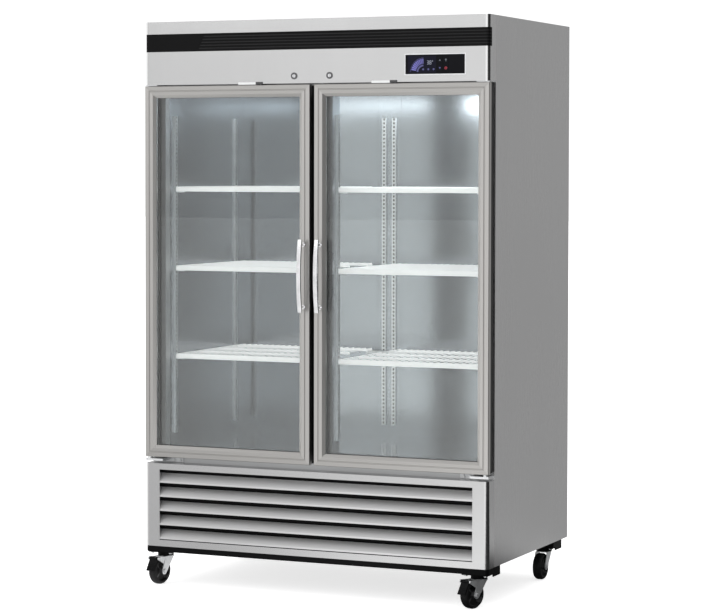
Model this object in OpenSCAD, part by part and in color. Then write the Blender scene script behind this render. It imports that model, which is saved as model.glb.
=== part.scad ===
// Two-section reach-in refrigerator with glass doors, bottom-mounted machine and swivel casters.
// Millimetres. +Z up, front towards -Y, origin on the floor under the middle of the bounding box.

/* [Cabinet] */
// Width over the side panels
body_w = 1381; // [1340:1:1440]
// Height from the underside of the base rails to the top
body_h = 1981; // [1950:1:2040]
// Depth of the insulated cabinet behind the doors
body_d = 785; // [770:1:820]
// Height from the floor to the cabinet's base
caster_h = 127; // [127:1:133]
// Thickness of the side, rear and liner sheet metal
sheet = 1.5; // [1.2:0.1:2]
// Radius of the vertical front corners
corner_r = 16; // [12:1:20]

/* [Doors] */
// How far doors, canopy and grille stand in front of the side panels
door_t = 62; // [60:1:66]
// Gap between the two doors
door_gap = 17; // [14:1:20]
// Height of each door
door_h = 1388; // [1360:1:1388]
// Overall width of the aluminium door rails
rail_w = 44; // [40:1:48]
// Length of the bow handles
handle_len = 265; // [240:1:290]
// How far the handles stand in front of the doors
handle_out = 45; // [40:1:50]
// Rise of the bow between its ends and its middle
handle_bow = 12; // [8:1:20]

/* [Canopy] */
// Height of the canopy above the doors
canopy_h = 235; // [235:1:240]
// Height of the black trim band
band_h = 66; // [54:1:72]
// Number of grooves in the trim band
band_grooves = 5; // [3:1:6]
// Width and height of the control panel
display_size = [235, 76]; // [60:1:240]
// Distance of the door locks from the centre
lock_x = 71; // [60:1:90]

/* [Grille] */
// Height of the front grille panel
grille_h = 312; // [308:1:312]
// Number of louver blades
louver_count = 5; // [4:1:6]

/* [Shelves] */
// Heights of the shelf decks above the cabinet floor
shelf_levels = [343, 676, 974]; // [200:1:1150]
// Distance between deck wires
wire_pitch = 24; // [20:1:40]

/* [Casters] */
// Wheel diameter
wheel_d = 100; // [96:1:104]
// Wheel width
wheel_w = 32; // [28:1:34]
// Distance of the wheel axle behind the swivel axis
trail = 38; // [34:1:40]
// Angle at which the front casters stand
front_turn = [-9, -20]; // [-30:1:30]

/* [Hidden] */
$fn = 48;

// Colours
stainless = [0.78, 0.78, 0.78];
brushed_side = [0.56, 0.56, 0.56];
door_metal = [0.70, 0.68, 0.66];
black = [0.07, 0.07, 0.08];
dark = [0.16, 0.16, 0.17];
white = [0.95, 0.95, 0.95];
zinc = [0.72, 0.73, 0.75];
copper = [0.72, 0.45, 0.30];
foam = [0.93, 0.88, 0.70];
glass = [0.75, 0.85, 0.88, 0.35];

// Main planes
half_w = body_w / 2;
total_d = body_d + door_t + handle_out;
face_y = handle_out - total_d / 2;       // front faces of doors, canopy and grille
case_y = face_y + door_t;                // front edge of the side panels
back_y = total_d / 2;                    // rear edge of the side panels
top_z = caster_h + body_h;
base_rail_h = 18;
base_z = caster_h + base_rail_h;         // lower edge of the side panels
sill_z = base_z + grille_h;              // top of the grille panel
canopy_z = top_z - canopy_h;             // lower edge of the canopy
door_top_gap = 4;
door_z = canopy_z - door_top_gap - door_h;

// Cabinet walls
wall_t = half_w - 635;                   // side wall thickness, skin to liner
room_x = half_w - wall_t;                // inner face of the side walls
floor_z = sill_z + 63;                   // cabinet floor
ceiling_z = top_z - 62;                  // cabinet ceiling
header_z = canopy_z - 43;                // upper edge of the door openings
frame_t = 30;                            // depth of the face frame
duct_y = case_y + 650;                   // panel in front of the rear air duct
rear_liner_y = case_y + 725;
back_sheet_y = back_y - 16.5;            // the rear skin is set in from the side panels
hem_w = 12;                              // folded front edge of the side panels
liner_t = 1.2;
joint_gap = 0.1;                         // between pieces that meet without being welded
centre_panel_x = 49;                     // seam of the narrow middle duct panel

// Band, control panel and switches
band_t = 3;
band_fit = 0.2;
band_z = canopy_z + 123;
band_end_y = face_y + 24;                // the band wraps round both front corners to here
groove_d = 1.3;
groove_w = 4;
plaque_top_x = -439;                     // slanted edge of the plain plaque at the band's left
plaque_bottom_x = -468;
display_x = 366;
display_z = canopy_z + 23.5;
bezel_w = 3.5;
bezel_t = 1.2;
key_size = [20, 24];
key_pitch = [23, 28];
key_x = display_x + 136;                 // centre of the first key column
key_z = display_z + display_size[1] / 2;
key_travel = 0.6;
key_fit = 0.4;
switch_x = [-249, 287];
switch_w = 28;
switch_y = face_y + 15;
plunger_r = 4;

// Locks
lock_z = canopy_z + 27;
plug_r = 6;
plug_fit = 0.05;
barrel_r = 9;
barrel_len = 22;
cam_y = face_y + 26;
cam_t = 3;
cam_len = 42;

// Door section, measured from the door's front face
door_w = half_w - door_gap / 2;
metal_d = 20;                            // depth of the aluminium frame
glass_d = 11;                            // depth of the outer pane behind the front face
pane_t = 4;
pane_gap = 12;
glass_inset = 32;                        // glass edge from the door edge
inner_back = 49.7;                       // rear face of the plastic inner frame
gasket_t = 12;
pivot_in = 14;                           // hinge axis from the door's outer edge
pivot_back = 12;                         // hinge axis behind the door's front face
pin_r = 4;
pin_fit = 0.05;
pin_in = 20;                             // engagement of the hinge pins in the door
pivot_x = half_w - pivot_in;
pivot_y = face_y + pivot_back;

// Hinge brackets
hinge_z = door_z - 15;                   // underside of the lower bracket plate
hinge_t = 8;
hinge_x = half_w - 72;
top_hinge_t = 2.8;
leg_x = half_w - 130;
bolt_r = 4;
bolt_fit = 0.3;

// Casters
caster_x = 635;
rail_z = caster_h - 3;                    // underside of the rails, where the casters are bolted
front_caster_y = case_y - 5;
rear_caster_y = case_y + 676;
front_rail_y = [face_y + 2, case_y + 63];
rear_rail_y = [rear_caster_y - 45, rear_caster_y + 45];
rail_wall = 2;
plate_t = 5;
plate_size = [100, 90];
plate_hole = [38, 33];
race_r = 30;
race_z = rail_z - 20;
fork_x = 21;
fork_t = 3;
fork_top_z = 103;
axle_r = 5;
axle_fit = 0.06;
axle_z = wheel_d / 2;
kingpin_r = 6;
pedal_pivot = [-72, 100];                // y and z of the brake pedal's pin, before turning
pedal_pin_r = 3;
pedal_slope = 62;
pedal_len = 50;

// Machine compartment
pan_z = base_z + 2;
compressor_at = [300, case_y + 470];
compressor_r = 95;
coil_x = [-520, -60];
coil_y = [case_y + 60, case_y + 118];
coil_z = [pan_z + 12, sill_z - 30];
fan_at = [-290, case_y + 160];
fan_z = 295;
fan_r = 112;
screen_x = half_w - 45;
gland_x = 560;
gland_z = pan_z + 260;
riser_x = [300, 340];
riser_y = case_y + 690;
riser_hole_r = 14;

// Evaporator housing under the ceiling
evap_z = canopy_z + 7;
evap_x = 520;
evap_y = [case_y + 62, case_y + 640];
evap_fan_r = 84;
evap_fan_z = (evap_z + ceiling_z) / 2;
evap_fan_y = case_y + 110;

// Shelves
shelf_x = [58, 617];
shelf_y = [case_y + 48, case_y + 618];
wire_r = 1.5;
rod_r = 3.5;
rod_y = [5.6, 24, 190, 352, 518, 564];   // cross rods, from the shelf's front edge
standard_w = 16;
standard_t = 8;
standard_z = [floor_z + 40, header_z - 70];
slot_pitch = 15;
post_x = 42;                             // half width of the centre mullion
post_y = [case_y + frame_t, case_y + 92];
side_standard_y = [case_y + 72, case_y + 566];
back_standard_x = 21;

// ---------- helpers ----------

// A block given by its extent along each axis
module span(x, y, z) {
  translate([x[0], y[0], z[0]])
    cube([x[1] - x[0], y[1] - y[0], z[1] - z[0]]);
}

// A hollow box section whose tube runs along one axis (0 = X, 2 = Z)
module box_section(x, y, z, run) {
  wall = sheet;
  past = 1;
  difference() {
    span(x, y, z);
    if (run == 0)
      span([x[0] - past, x[1] + past], [y[0] + wall, y[1] - wall], [z[0] + wall, z[1] - wall]);
    else
      span([x[0] + wall, x[1] - wall], [y[0] + wall, y[1] - wall], [z[0] - past, z[1] + past]);
  }
}

// An outline in the X-Y plane, raised between two heights
module slab(z) {
  translate([0, 0, z[0]])
    linear_extrude(z[1] - z[0])
      children();
}

module both_sides() {
  children();
  mirror([1, 0, 0]) children();
}

// A cylinder along +Y that starts at the given point
module along_y(at, r, len, fn = 48) {
  translate(at)
    rotate([-90, 0, 0])
      cylinder(r = r, h = len, $fn = fn);
}

// A cylinder along X, centred on the given point
module along_x(at, r, len, fn = 48) {
  translate(at)
    rotate([0, 90, 0])
      cylinder(r = r, h = len, center = true, $fn = fn);
}

// Plan outline of the projecting front casing, with rounded front corners
module front_outline(inset, back) {
  r = corner_r - inset;
  w = half_w - inset;
  y = face_y + inset;
  translate([-w, y + r]) square([2 * w, back - y - r]);
  translate([r - w, y]) square([2 * (w - r), 2 * r]);
  for (side = [-1, 1])
    translate([side * (w - r), y + r]) circle(r);
}

module front_wrap(inset, thick) {
  difference() {
    front_outline(inset, case_y);
    front_outline(inset + thick, case_y + 1);
  }
}

// Keeps the part of a plan outline that lies between two y values
module between_y(y) {
  intersection() {
    children();
    translate([-body_w, y[0]]) square([2 * body_w, y[1] - y[0]]);
  }
}

// Places a door part: children are drawn with the free edge at x = 0, the front face at y = 0
// and the lower edge at z = 0
module in_door(side) {
  mirror([side < 0 ? 1 : 0, 0, 0])
    translate([door_gap / 2, face_y, door_z])
      children();
}

// One mitred rail along X; the profile is drawn as (depth, distance from the edge)
module mitred_rail(length, width) {
  intersection() {
    rotate([90, 0, 90])
      linear_extrude(length) children();
    translate([0, 2 * door_t, 0])
      rotate([90, 0, 0])
        linear_extrude(2 * door_t)
          polygon([[joint_gap, 0], [length - joint_gap, 0], [length - width - joint_gap, width],
                   [width + joint_gap, width]]);
  }
}

// Four mitred rails round a door-sized rectangle
module mitred_ring(width) {
  mitred_rail(door_w, width) children();
  translate([0, 0, door_h])
    mirror([0, 0, 1]) mitred_rail(door_w, width) children();
  mirror([1, 0, 0])
    rotate([0, -90, 0]) mitred_rail(door_h, width) children();
  translate([door_w, 0, 0])
    rotate([0, -90, 0]) mitred_rail(door_h, width) children();
}

// A rounded rectangle made of squares and circles
module round_rect(size, r) {
  w = size[0] / 2;
  h = size[1] / 2;
  square([2 * (w - r), 2 * h], center = true);
  square([2 * w, 2 * (h - r)], center = true);
  for (x = [r - w, w - r], y = [r - h, h - r])
    translate([x, y]) circle(r, $fn = 24);
}

// ---------- cabinet skins ----------

module side_panel() {
  color(brushed_side) {
    span([half_w - sheet, half_w], [case_y, back_y], [base_z, top_z]);
    span([half_w - 2 * sheet, half_w - sheet], [case_y, case_y + hem_w], [base_z, top_z - sheet]);
    span([half_w - 30, half_w - sheet], [back_y - sheet, back_y], [base_z, top_z]);
  }
}

module side_panel_left() {
  mirror([1, 0, 0]) side_panel();
}

module side_panel_right() {
  side_panel();
}

module top_panel() {
  w = half_w - sheet;
  color(brushed_side)
    span([-w, w], [case_y, back_y - sheet], [top_z - sheet, top_z]);
}

// Places the screws that hold the rear skin
module back_screw_places() {
  for (x = [-1, -0.34, 0.34, 1], z = [0, 1])
    translate([x * (half_w - 40), back_sheet_y, base_z + 22 + z * (body_h - 70)]) children();
  for (x = [-1, 1], z = [1:3])
    translate([x * (half_w - 40), back_sheet_y, base_z + z * body_h / 4]) children();
}

module back_panel() {
  w = half_w - sheet;
  vent_rows = 9;
  color(brushed_side)
    difference() {
      span([-w, w], [back_sheet_y, back_sheet_y + sheet], [pan_z, top_z - sheet]);
      for (column = [-2:2], row = [0:vent_rows - 1])
        translate([column * 180 - 70, back_sheet_y - 1, pan_z + 60 + row * 20])
          cube([140, 4, 7]);
      along_y([gland_x, back_sheet_y - 1, gland_z], 10.3, 4);
      back_screw_places() along_y([0, -1, 0], 2.6, 4, 24);
    }
}

module caster_places() {
  for (x = [-caster_x, caster_x], y = [front_caster_y, rear_caster_y])
    translate([x, y, 0]) children();
}

module plate_holes(r) {
  for (x = [-1, 1], y = [-1, 1])
    translate([x * plate_hole[0], y * plate_hole[1], caster_h - 20])
      cylinder(r = r, h = 40, $fn = 24);
}

// Rectangular tube across the cabinet, with a short skirt under each end beside the caster
module base_rail(y, nose) {
  difference() {
    union() {
      intersection() {
        span([-half_w, half_w], y, [rail_z, base_z]);
        slab([rail_z, base_z]) front_outline(1, back_y);
      }
      for (x = [1 - half_w, half_w - 4]) span([x, x + 3], [y[1] - 70, y[1]], [rail_z - 12, rail_z + 1]);
    }
    span([4 - half_w, half_w - 4], [y[0] + nose, y[1] - rail_wall],
         [rail_z + rail_wall, base_z - rail_wall]);
    caster_places() plate_holes(bolt_r + bolt_fit);
  }
}

// Base pan, both rails, and the black dust screen that stands behind the grille
module base_frame() {
  w = half_w - 2 * sheet;
  color(black) {
    difference() {
      span([-w, w], [case_y, back_sheet_y], [base_z + joint_gap, pan_z]);
      for (x = [-1:1])
        translate([x * 380, case_y + 380, base_z - 1]) cylinder(r = 60, h = 4);
    }
    base_rail(front_rail_y, corner_r / 2);
    base_rail(rear_rail_y, rail_wall);
    span([-screen_x, screen_x], [face_y + 36, face_y + 38], [base_z + 2, sill_z - 2]);
  }
}

module riser_holes() {
  for (x = riser_x)
    translate([x, riser_y, sill_z - 1]) cylinder(r = riser_hole_r, h = 80);
}

module insulation() {
  skin_x = half_w - sheet;
  inner_x = room_x + liner_t;
  front = case_y + frame_t;
  color(foam) {
    both_sides()
      span([inner_x + joint_gap, skin_x], [front, back_sheet_y], [floor_z, ceiling_z]);
    span([-inner_x, inner_x], [rear_liner_y + liner_t, back_sheet_y], [floor_z, ceiling_z]);
    span([-skin_x, skin_x], [front, back_sheet_y], [ceiling_z + liner_t, top_z - sheet]);
    difference() {
      span([-skin_x, skin_x], [front, back_sheet_y], [sill_z + 2, floor_z - liner_t]);
      riser_holes();
    }
  }
}

module liner() {
  front = case_y + frame_t;
  outer_x = room_x + liner_t;
  room_z = [floor_z + joint_gap, ceiling_z - joint_gap];
  panel_z = [floor_z + joint_gap, evap_z - 20];
  seam = 0.5;
  color(stainless) {
    both_sides() {
      span([room_x, outer_x], [front, rear_liner_y - joint_gap], room_z);
      span([centre_panel_x + seam, room_x - joint_gap], [duct_y, duct_y + liner_t], panel_z);
    }
    span([seam - centre_panel_x, centre_panel_x - seam], [duct_y, duct_y + liner_t], panel_z);
    span([-outer_x, outer_x], [rear_liner_y, rear_liner_y + liner_t], room_z);
    span([-outer_x, outer_x], [front, rear_liner_y + liner_t], [ceiling_z, ceiling_z + liner_t]);
    difference() {
      span([-outer_x, outer_x], [front, rear_liner_y + liner_t], [floor_z - liner_t, floor_z]);
      riser_holes();
    }
    difference() {
      span([-room_x, room_x], [front, back_sheet_y], [sill_z, sill_z + 2]);
      riser_holes();
    }
  }
}

module front_frame() {
  edge_x = half_w - 2 * sheet;
  y = [case_y, case_y + frame_t];
  color(stainless) {
    box_section([-edge_x, edge_x], y, [header_z, top_z - sheet], 0);
    both_sides()
      box_section([room_x + joint_gap, edge_x], y, [sill_z, header_z - joint_gap], 2);
    difference() {
      box_section([-room_x, room_x], y, [sill_z, floor_z - liner_t], 0);
      both_sides() hinge_bolt_places() along_y([0, -1, 0], 3.3, 20, 24);
    }
  }
}

module mullion() {
  z = [floor_z, header_z];
  color(black)
    box_section([-post_x, post_x], [case_y, case_y + frame_t - joint_gap], z, 2);
  color(stainless)
    box_section([-post_x, post_x], post_y, z, 2);
}

// ---------- canopy and controls ----------

module display_opening() {
  translate([display_x + bezel_w / 2, face_y - 1, display_z + bezel_w / 2])
    cube([display_size[0] - bezel_w, 1 + band_t + 2, display_size[1] - bezel_w]);
}

module canopy() {
  inner = band_t + sheet;
  band_top = band_z + band_h;
  color(stainless)
    difference() {
      union() {
        slab([canopy_z, band_z]) front_wrap(0, sheet);
        slab([band_top, top_z]) front_wrap(0, sheet);
        slab([band_z, band_top]) between_y([face_y, band_end_y]) front_wrap(band_t, sheet);
        slab([band_z, band_top]) between_y([band_end_y, case_y]) front_wrap(0, sheet);
        slab([band_z, band_top]) between_y([band_end_y, band_end_y + sheet])
          front_wrap(0, inner);
        slab([band_z - sheet, band_z]) front_wrap(0, inner);
        slab([band_top, band_top + sheet]) front_wrap(0, inner);
        slab([top_z - sheet, top_z]) front_outline(0, case_y);
        slab([canopy_z, canopy_z + sheet]) front_outline(0, case_y);
      }
      display_opening();
      both_sides() {
        along_y([lock_x, face_y - 1, lock_z], barrel_r + 0.2, 5);
        translate([lock_x - 9, cam_y - 3, canopy_z - 1])
          cube([cam_len + 10, cam_t + 6, 4]);
      }
      for (x = switch_x)
        translate([x + switch_w + 8, switch_y, canopy_z - 1])
          cylinder(r = plunger_r + 1, h = 4);
    }
}

module canopy_band() {
  groove_pitch = band_h / (band_grooves + 1);
  color(black)
    difference() {
      slab([band_z, band_z + band_h])
        between_y([face_y, band_end_y]) front_wrap(0, band_t - band_fit);
      intersection() {
        for (i = [1:band_grooves])
          slab([band_z + i * groove_pitch - groove_w / 2, band_z + i * groove_pitch + groove_w / 2])
            difference() {
              front_outline(-1, case_y);
              front_outline(groove_d, case_y + 1);
            }
        translate([0, case_y, 0])
          rotate([90, 0, 0])
            linear_extrude(2 * door_t)
              polygon([[plaque_bottom_x, band_z], [body_w, band_z],
                       [body_w, band_z + band_h], [plaque_top_x, band_z + band_h]]);
      }
    }
}

module key_places() {
  for (column = [0, 1], row = [-1, 1])
    translate([key_x + column * key_pitch[0], face_y, key_z + row * key_pitch[1] / 2])
      children();
}

module display_unit() {
  w = display_size[0];
  h = display_size[1];
  color(zinc)
    difference() {
      translate([display_x, face_y - bezel_t, display_z]) cube([w, bezel_t, h]);
      translate([display_x + bezel_w, face_y - 2 * bezel_t, display_z + bezel_w])
        cube([w - 2 * bezel_w, 4 * bezel_t, h - 2 * bezel_w]);
    }
  color(black)
    difference() {
      translate([display_x + bezel_w + joint_gap, face_y - 0.8, display_z + bezel_w + joint_gap])
        cube([w - 2 * bezel_w - 2 * joint_gap, 2.9, h - 2 * bezel_w - 2 * joint_gap]);
      key_places()
        cube([key_size[0] + 2 * key_fit, 10, key_size[1] + 2 * key_fit], center = true);
    }
  color(dark)
    translate([display_x + 6, face_y + 2.2, display_z + 6])
      cube([w - 12, 30, h - 12]);
}

module key(column, row) {
  cap = 2.2;
  color(dark)
    translate([key_x + column * key_pitch[0], face_y + cap / 2 - 1,
               key_z + row * key_pitch[1] / 2])
      cube([key_size[0], cap, key_size[1]], center = true);
}

module key_up() {
  key(0, 1);
}

module key_down() {
  key(0, -1);
}

module key_light() {
  key(1, 1);
}

module key_power() {
  key(1, -1);
}

module lock_barrels() {
  flange_t = 2.5;
  color(zinc)
    both_sides()
      difference() {
        union() {
          along_y([lock_x, face_y - flange_t, lock_z], 12.5, flange_t);
          along_y([lock_x, face_y - flange_t, lock_z], barrel_r, flange_t + barrel_len);
        }
        along_y([lock_x, face_y - flange_t - 1, lock_z], plug_r + plug_fit, barrel_len + 10);
      }
}

// Key plug with its cam, which points outwards while the door is unlocked
module lock_plug() {
  front = face_y - 2.8;
  color(zinc) {
    difference() {
      union() {
        along_y([lock_x, front, lock_z], plug_r, barrel_len + 2.8);
        along_y([lock_x, front, lock_z], 4, cam_y - front + cam_t);
        translate([lock_x, cam_y, lock_z - 6]) cube([cam_len - 6, cam_t, 12]);
        along_y([lock_x + cam_len - 6, cam_y, lock_z], 6, cam_t);
        along_y([lock_x, cam_y, lock_z], 6, cam_t);
      }
      translate([lock_x - 0.7, front - 1, lock_z - 3.5]) cube([1.4, 4, 7]);
    }
  }
}

module lock_plug_left() {
  mirror([1, 0, 0]) lock_plug();
}

module lock_plug_right() {
  lock_plug();
}

module door_switches() {
  plate = 2.5;
  lip = 1.2;
  for (x = switch_x) {
    body_x = [x + switch_w - 6 + joint_gap, x + switch_w + 22];
    color(white) {
      span([x - 50, x + switch_w - 6], [face_y - lip, switch_y + 15], [canopy_z - plate, canopy_z]);
      span([x - 50, x + switch_w - 6], [face_y - lip, face_y], [canopy_z, canopy_z + 6]);
    }
    color(black)
      difference() {
        union() {
          span(body_x, [face_y - 2, switch_y + 15], [canopy_z - plate, canopy_z]);
          span(body_x, [face_y - 2, face_y], [canopy_z, canopy_z + 7]);
        }
        translate([x + switch_w + 8, switch_y, canopy_z - 5])
          cylinder(r = plunger_r + 0.3, h = 10);
      }
    color(black)
      difference() {
        span(body_x, [face_y + 3, switch_y + 12], [canopy_z + sheet, canopy_z + 26]);
        translate([x + switch_w + 8, switch_y, canopy_z])
          cylinder(r = plunger_r + 0.3, h = 21);
      }
  }
}

module switch_plunger(x) {
  reach = canopy_z - door_top_gap + 0.8;
  color(white)
    translate([x + switch_w + 8, switch_y, reach])
      cylinder(r = plunger_r, h = 20);
}

module switch_plunger_left() {
  switch_plunger(switch_x[0]);
}

module switch_plunger_right() {
  switch_plunger(switch_x[1]);
}

// ---------- grille ----------

module grille_panel() {
  opening_x = half_w - 60;
  opening_z = [base_z + 24, sill_z - 23];
  pitch = (opening_z[1] - opening_z[0]) / louver_count;
  blade_h = 35;
  blade_d = 26;
  lip = 7;
  metal = 1.4;
  color(stainless) {
    difference() {
      union() {
        slab([base_z, sill_z]) front_wrap(0, sheet);
        slab([base_z, base_z + sheet]) front_outline(0, case_y);
        slab([sill_z - sheet, sill_z]) front_outline(0, case_y);
      }
      span([-opening_x, opening_x], [face_y - 1, face_y + sheet + 1], opening_z);
    }
    for (i = [0:louver_count - 1])
      translate([joint_gap - opening_x - 2, face_y + sheet + 0.2, opening_z[0] + 3 + i * pitch])
        rotate([90, 0, 90])
          linear_extrude(2 * (opening_x + 2 - joint_gap))
            polygon([[0, 0], [metal, 0], [metal, lip - 0.6], [blade_d, blade_h - metal],
                     [blade_d, blade_h], [0, lip]]);
    both_sides()
      span([opening_x + 2, opening_x + 3.5], [face_y + sheet + 0.2, face_y + 34],
           [opening_z[0] - 4, opening_z[1] + 4]);
  }
}

// ---------- casters ----------

module caster_plates() {
  color(black)
    caster_places()
      difference() {
        union() {
          translate([-plate_size[0] / 2, -plate_size[1] / 2, rail_z - plate_t])
            cube([plate_size[0], plate_size[1], plate_t]);
          translate([0, 0, race_z]) cylinder(r = race_r, h = rail_z - race_z - plate_t / 2);
        }
        plate_holes(bolt_r + bolt_fit);
        translate([0, 0, race_z - 1]) cylinder(r = kingpin_r + axle_fit, h = 8);
      }
}

module at_caster(x_side, y, turn) {
  translate([x_side * caster_x, y, 0])
    rotate([0, 0, turn])
      children();
}

module fork_leg(brake) {
  rotate([90, 0, 90])
    linear_extrude(fork_t) {
      polygon([[20, fork_top_z], [-30, fork_top_z], [-trail - 12.9, axle_z + 2],
               [10 - trail, axle_z - 8.3]]);
      translate([-trail, axle_z]) circle(13);
      if (brake) {
        polygon([[-30, fork_top_z], [pedal_pivot[0], pedal_pivot[1] + 5.5],
                 [pedal_pivot[0], pedal_pivot[1] - 6], [-44, 78]]);
        translate(pedal_pivot) circle(5.8);
      }
    }
}

module caster_fork(brake) {
  end = fork_x + fork_t;
  color(zinc) {
    difference() {
      union() {
        translate([0, 0, fork_top_z - 0.5]) cylinder(r = race_r - 3, h = race_z - fork_top_z);
        span([-end, end], [-18, 20], [fork_top_z - 4, fork_top_z]);
        translate([0, 0, fork_top_z - 1]) cylinder(r = kingpin_r, h = race_z - fork_top_z + 6);
        translate([fork_x, 0, 0]) fork_leg(brake);
        translate([-end, 0, 0]) fork_leg(brake);
      }
      along_x([0, -trail, axle_z], axle_r + 0.2, 3 * end);
      if (brake)
        along_x([0, pedal_pivot[0], pedal_pivot[1]], pedal_pin_r + 0.2, 3 * end);
    }
    along_x([0, -trail, axle_z], axle_r, 2 * (end + 1));
    for (side = [-1, 1])
      along_x([side * (end + 2.5 + joint_gap), -trail, axle_z], 8, 5, 6);
    if (brake) {
      along_x([0, pedal_pivot[0], pedal_pivot[1]], pedal_pin_r, 2 * (end + 1));
      for (side = [-1, 1])
        along_x([side * (end + 1 + joint_gap), pedal_pivot[0], pedal_pivot[1]], 5, 2);
    }
  }
}

module caster_wheel() {
  hub_x = fork_x - 2;
  half = wheel_w / 2;
  r = wheel_d / 2;
  color(black)
    translate([0, -trail, axle_z])
      rotate([0, 90, 0])
        rotate_extrude($fn = 96)
          polygon([[axle_r + axle_fit, -hub_x], [12, -hub_x], [12, -6], [r - 14, -6],
                   [r - 12, 1 - half], [r - 10, -half], [r - 5, -half], [r - 1, 5 - half],
                   [r, 9 - half], [r, half - 9], [r - 1, half - 5], [r - 5, half], [r - 10, half],
                   [r - 12, half - 1], [r - 14, 6], [12, 6], [12, hub_x],
                   [axle_r + axle_fit, hub_x]]);
}

module caster_brake() {
  pad = 38;
  color(black)
    translate([0, pedal_pivot[0], pedal_pivot[1]])
      difference() {
        union() {
          along_x([0, 0, 0], 5.6, pad);
          rotate([pedal_slope, 0, 0]) {
            translate([1 - pad / 2, -pedal_len, -2]) cube([pad - 2, pedal_len - pedal_pin_r - 1, 4]);
            for (i = [0:4])
              translate([3 - pad / 2, 2 - pedal_len + i * 6, 1]) cube([pad - 6, 2.5, 2.2]);
          }
        }
        along_x([0, 0, 0], pedal_pin_r + axle_fit, 2 * pad);
      }
}

module caster_fork_fl() {
  at_caster(-1, front_caster_y, front_turn[0]) caster_fork(true);
}

module caster_fork_fr() {
  at_caster(1, front_caster_y, front_turn[1]) caster_fork(true);
}

module caster_fork_rl() {
  at_caster(-1, rear_caster_y, 0) caster_fork(false);
}

module caster_fork_rr() {
  at_caster(1, rear_caster_y, 0) caster_fork(false);
}

module caster_wheel_fl() {
  at_caster(-1, front_caster_y, front_turn[0]) caster_wheel();
}

module caster_wheel_fr() {
  at_caster(1, front_caster_y, front_turn[1]) caster_wheel();
}

module caster_wheel_rl() {
  at_caster(-1, rear_caster_y, 0) caster_wheel();
}

module caster_wheel_rr() {
  at_caster(1, rear_caster_y, 0) caster_wheel();
}

module caster_brake_fl() {
  at_caster(-1, front_caster_y, front_turn[0]) caster_brake();
}

module caster_brake_fr() {
  at_caster(1, front_caster_y, front_turn[1]) caster_brake();
}

// ---------- refrigeration machine ----------

module compressor() {
  x = compressor_at[0];
  y = compressor_at[1];
  body_z = [pan_z + 45, pan_z + 190];
  dome = 120;
  dome_drop = sqrt(dome * dome - compressor_r * compressor_r);
  color(black)
    translate([x, y, 0]) {
      translate([0, 0, body_z[0]]) cylinder(r = compressor_r, h = body_z[1] - body_z[0]);
      intersection() {
        translate([0, 0, body_z[1] - dome_drop]) sphere(dome);
        translate([0, 0, body_z[1]]) cylinder(r = compressor_r, h = dome);
      }
      span([-110, 110], [-80, 80], [body_z[0] - 25, body_z[0]]);
      span([-30, 30], [-compressor_r - 32, -compressor_r + 25], [body_z[0] + 40, body_z[0] + 110]);
    }
  color(dark)
    for (dx = [-95, 95], dy = [-65, 65])
      translate([x + dx, y + dy, pan_z]) cylinder(r = 12, h = 20 - joint_gap);
}

module fan_rotor(r, blades) {
  rotate([-90, 0, 0]) {
    cylinder(r = r * 0.24, h = 24, center = true);
    for (i = [0:blades - 1])
      rotate([0, 0, i * 360 / blades])
        translate([r * 0.2, 0, 0])
          rotate([24, 0, 0])
            translate([0, -r * 0.24, -0.8]) cube([r * 0.76, r * 0.48, 1.6]);
  }
}

module motor(at, r, len) {
  along_y(at, r, len);
  translate([at[0] - r - 40, at[1] + len - 4, at[2] - 6]) cube([2 * r + 80, 3, 12]);
}

module finned_block(x, y, z, pitch) {
  depth_in = (y[1] - y[0]) * 0.38;
  span(x, [y[0] + depth_in, y[1] - depth_in], z);
  for (i = [0:floor((x[1] - x[0] - 2) / pitch)])
    translate([x[0] + i * pitch, y[0], z[0]]) cube([2, y[1] - y[0], z[1] - z[0]]);
}

module condenser_coil() {
  shroud = [coil_y[1], coil_y[1] + 30];
  bend_count = 5;
  rise = (coil_z[1] - coil_z[0]) / bend_count;
  color(zinc)
    finned_block(coil_x, coil_y, coil_z, 20);
  color(copper)
    for (i = [0:bend_count - 1])
      translate([coil_x[1], (coil_y[0] + coil_y[1]) / 2, coil_z[0] + (i + 0.5) * rise])
        rotate([90, 0, 0])
          rotate([0, 0, -90])
            rotate_extrude(angle = 180) translate([12, 0]) circle(5, $fn = 24);
  color(dark)
    difference() {
      span(coil_x, shroud, coil_z);
      translate([2, -1, 2])
        span([coil_x[0], coil_x[1] - 4], [shroud[0], shroud[1] - 1], [coil_z[0], coil_z[1] - 4]);
      along_y([fan_at[0], shroud[1] - 5, fan_z], fan_r + 8, 20);
    }
  color(black)
    motor([fan_at[0], fan_at[1] + 14, fan_z], 40, 70);
}

module condenser_fan() {
  color(dark)
    translate([fan_at[0], fan_at[1], fan_z]) fan_rotor(fan_r, 5);
}

module condensate_pan() {
  wall = 1.5;
  x = [0, 440];
  y = [case_y + 590, case_y + 740];
  z = [pan_z, pan_z + 42];
  color(zinc)
    difference() {
      span(x, y, z);
      span([x[0] + wall, x[1] - wall], [y[0] + wall, y[1] - wall], [z[0] + wall, z[1] + 1]);
    }
}

module electrical_box() {
  x = [470, 640];
  y = [case_y + 560, case_y + 690];
  z = [pan_z, pan_z + 250];
  lid = 2;
  color(zinc) {
    span(x, y, [z[0], z[1] - 30]);
    span([x[0] - 3, x[1] + 3], [y[0] - lid, y[0] - joint_gap], [z[0], z[1] - 27]);
  }
  color(black) {
    along_y([gland_x, back_sheet_y - 30, gland_z], 10, 30 + sheet);
    along_y([gland_x, back_sheet_y + sheet, gland_z], 16, 4, 6);
    along_y([gland_x, back_sheet_y + sheet + 4, gland_z], 8, 9);
    along_y([gland_x, back_sheet_y - 8, gland_z], 10, 8);
  }
}

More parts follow.
